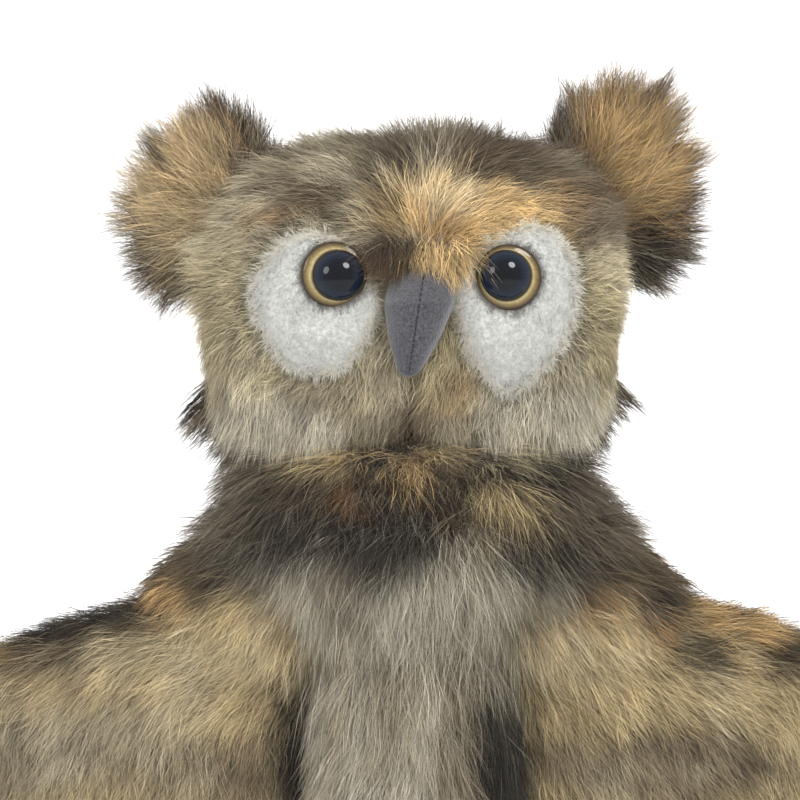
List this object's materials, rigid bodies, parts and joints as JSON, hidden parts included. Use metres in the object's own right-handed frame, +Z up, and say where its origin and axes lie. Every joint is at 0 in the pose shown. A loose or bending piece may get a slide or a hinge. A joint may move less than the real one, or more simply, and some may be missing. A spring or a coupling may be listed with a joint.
{
  "type": "interactive plush pet",
  "caption": "Plush owl with spread wings and long pile; motors inside turn the head and flap the wings, and a base door covers the batteries.",
  "frame": {"origin": "centre of the base plate's underside, on the surface that the owl stands on", "axes": "+Z up through the neck, the owl faces -Y, +X to the viewer's right when facing the owl"},
  "size_m": [0.5648, 0.1963, 0.4228],
  "materials": {
    "shell_plastic": "fine moulded texture",
    "gear_plastic": "natural acetal",
    "button_plastic": "polished",
    "steel": "zinc plated",
    "cell_wrap": "shrink sleeve",
    "circuit_green": "solder mask",
    "chip_black": "moulded",
    "fur_head": "long pile, gold over grey brown",
    "fur_body": "long grey beige pile",
    "fur_ruff": "long dark pile with gold patches",
    "fur_wing": "golden beige pile with dark stripes",
    "wadding": "polyester wadding",
    "white_plush": "short white pile",
    "beak_felt": "charcoal felt, stitched",
    "clear_plastic": "clear polished acrylic",
    "iris_paint": "painted iris ring and black pupil"
  },
  "bodies": {
    "torso": {"base_plate": "shell_plastic", "chassis_front": "shell_plastic", "chassis_back": "shell_plastic", "chassis_screws": "steel", "battery_box": "shell_plastic", "batteries": "cell_wrap", "battery_contacts": "steel", "switch_housing": "shell_plastic", "speaker_basket": "shell_plastic", "speaker_cone": "chip_black", "speaker_magnet": "steel", "circuit_board": "circuit_green", "board_components": "chip_black", "microphone": "chip_black", "button_spring": "steel", "touch_switch": "button_plastic", "drive_plate_front": "gear_plastic", "drive_plate_rear": "gear_plastic", "drive_spacers": "steel", "wing_pivot_pins": "steel", "wing_motor": "steel", "neck_bearing": "gear_plastic", "head_motor": "steel", "torso_fur": "fur_body", "torso_stuffing": "wadding", "neck_ruff": "fur_ruff", "tail_fur": "fur_wing", "foot_left": "beak_felt", "foot_right": "beak_felt"},
    "door": {"battery_door": "shell_plastic", "door_screw": "steel", "door_contacts": "steel"},
    "power_slider": {"switch_slider": "button_plastic"},
    "chest_key": {"chest_button": "button_plastic"},
    "head": {"neck_shaft": "gear_plastic", "head_gear": "gear_plastic", "skull_front": "shell_plastic", "skull_back": "shell_plastic", "skull_screws": "steel", "head_fur": "fur_head", "head_stuffing": "wadding", "beak": "beak_felt", "eye_washers": "gear_plastic", "eye_disc_left": "white_plush", "eye_disc_right": "white_plush", "eye_lens_left": "clear_plastic", "eye_iris_left": "iris_paint", "eye_lens_right": "clear_plastic", "eye_iris_right": "iris_paint", "ear_left": "fur_head", "ear_right": "fur_head"},
    "neck_pinion": {"head_pinion": "gear_plastic"},
    "wing_left": {"wing_arm_left": "gear_plastic", "wing_fur_left": "fur_wing", "wing_stuffing_left": "wadding"},
    "wing_right": {"wing_arm_right": "gear_plastic", "wing_fur_right": "fur_wing", "wing_stuffing_right": "wadding"},
    "flap_pinion": {"wing_pinion": "gear_plastic"}
  },
  "joints": [
    {"name": "head_turn", "type": "hinge", "parent": "torso", "child": "head", "pos_m": [0, 0, 0.24], "axis": [0, 0, 1], "range_deg": [-45, 45]},
    {"name": "neck_pinion_spin", "type": "hinge", "parent": "torso", "child": "neck_pinion", "pos_m": [0, 0.01772, 0.2236], "axis": [0, 0, 1], "range_deg": [-120, 120]},
    {"name": "wing_left_flap", "type": "hinge", "parent": "torso", "child": "wing_left", "pos_m": [-0.02406, 0, 0.197], "axis": [0, 1, 0], "range_deg": [0, 25]},
    {"name": "wing_right_flap", "type": "hinge", "parent": "torso", "child": "wing_right", "pos_m": [0.02406, 0, 0.197], "axis": [0, -1, 0], "range_deg": [0, 25]},
    {"name": "flap_pinion_spin", "type": "hinge", "parent": "torso", "child": "flap_pinion", "pos_m": [-0.01247, 0, 0.16917], "axis": [0, 1, 0], "range_deg": [-100, 0]},
    {"name": "battery_door_hinge", "type": "hinge", "parent": "torso", "child": "door", "pos_m": [0, 0.009, 0], "axis": [1, 0, 0], "range_deg": [0, 100]},
    {"name": "power_switch_slide", "type": "slide", "parent": "torso", "child": "power_slider", "axis": [1, 0, 0], "range_m": [0, 0.004]},
    {"name": "chest_button_press", "type": "slide", "parent": "torso", "child": "chest_key", "axis": [0, 1, 0], "range_m": [0, 0.002], "stiffness_N_per_m": 400, "springref_m": -0.001, "deforming": ["button_spring"]}
  ],
  "couplings": [
    {"joint": "neck_pinion_spin", "follows": "head_turn", "ratio": -2.6667},
    {"joint": "wing_right_flap", "follows": "wing_left_flap", "ratio": 1},
    {"joint": "flap_pinion_spin", "follows": "wing_left_flap", "ratio": -4}
  ]
}
